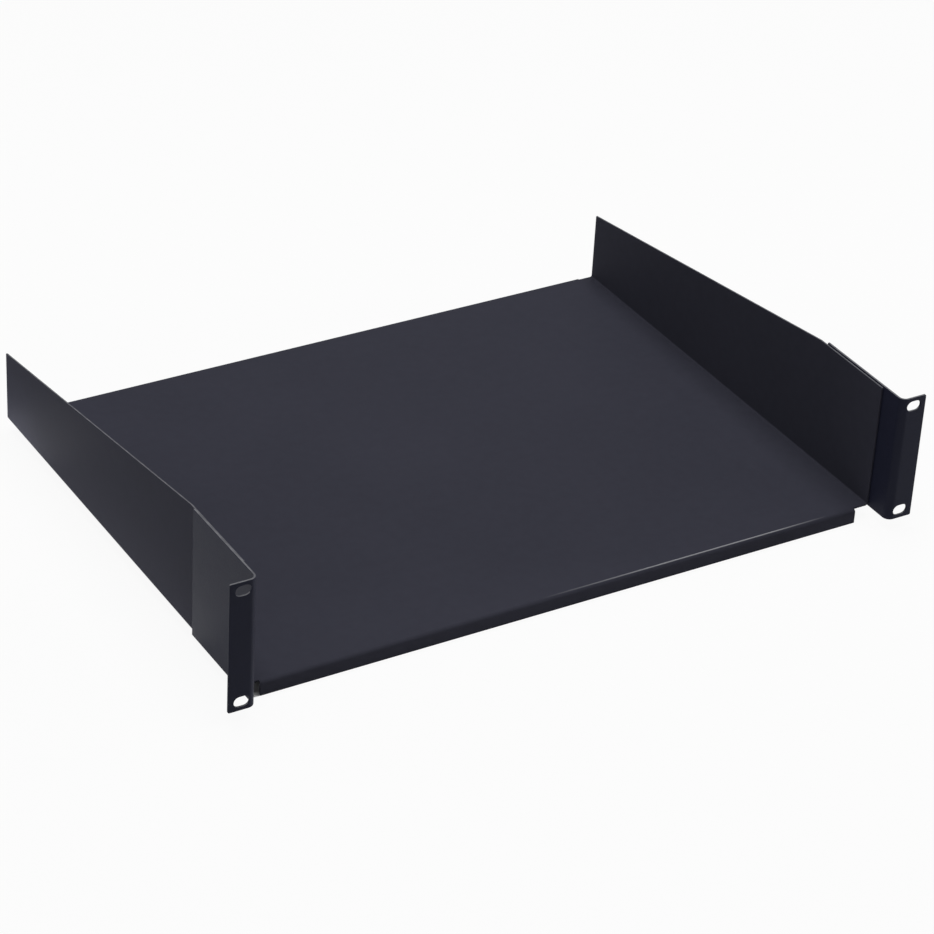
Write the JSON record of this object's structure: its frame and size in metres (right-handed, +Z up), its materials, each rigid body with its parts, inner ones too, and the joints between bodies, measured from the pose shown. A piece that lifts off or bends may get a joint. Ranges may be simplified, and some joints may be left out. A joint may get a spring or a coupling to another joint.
{
  "type": "rack shelf",
  "caption": "Cantilever shelf for a 19-inch rack: a folded sheet tray with tapering side walls, and slotted rack ears on angles at its front.",
  "frame": {"origin": "middle of the four rack slots, in the plane of the ears' rear faces, which sit on the rack rails", "axes": "+X to the right seen from the front of the rack, +Y to the rear along the shelf, +Z up"},
  "size_m": [0.4826, 0.3524, 0.0964],
  "materials": {
    "black_powder_coat": "satin black powder coat with a fine texture"
  },
  "bodies": {
    "root": {"shelf_tray": "black_powder_coat", "left_rack_bracket": "black_powder_coat", "right_rack_bracket": "black_powder_coat"}
  },
  "joints": []
}
